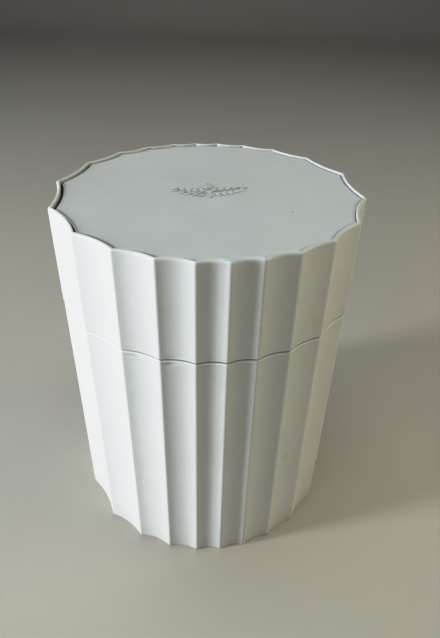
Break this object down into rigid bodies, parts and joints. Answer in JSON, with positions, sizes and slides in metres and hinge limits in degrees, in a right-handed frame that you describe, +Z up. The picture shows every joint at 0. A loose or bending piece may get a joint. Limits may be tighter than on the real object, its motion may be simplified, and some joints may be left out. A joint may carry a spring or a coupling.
{
  "type": "storage canister",
  "caption": "Round fluted kitchen storage canister with a plain round liner and a tall lift-off lid whose flat top plate sits inside the rim.",
  "frame": {"origin": "centre of the foot ring, on the surface the canister stands on", "axes": "+Z up, along the lift of the lid; -Y the front, where the flutes are narrowest; +X to the right"},
  "size_m": [0.162, 0.162, 0.205],
  "materials": {
    "paint": "satin off-white paint on pressed sheet steel",
    "top_paint": "satin off-white paint on a flat plate",
    "tinplate": "plain drawn tinplate, soft sheen",
    "seal": "translucent grey silicone, matt"
  },
  "bodies": {
    "base": {"base_wall": "paint", "base_floor": "paint", "liner_wall": "tinplate", "liner_bottom": "tinplate", "deck_ring": "paint", "neck_seal": "seal"},
    "lid": {"lid_wall": "paint", "lid_cap": "tinplate", "lid_plate": "top_paint"}
  },
  "joints": [
    {"name": "lid_lift", "type": "slide", "parent": "base", "child": "lid", "axis": [0, 0, 1], "range_m": [0, 0.09]}
  ]
}
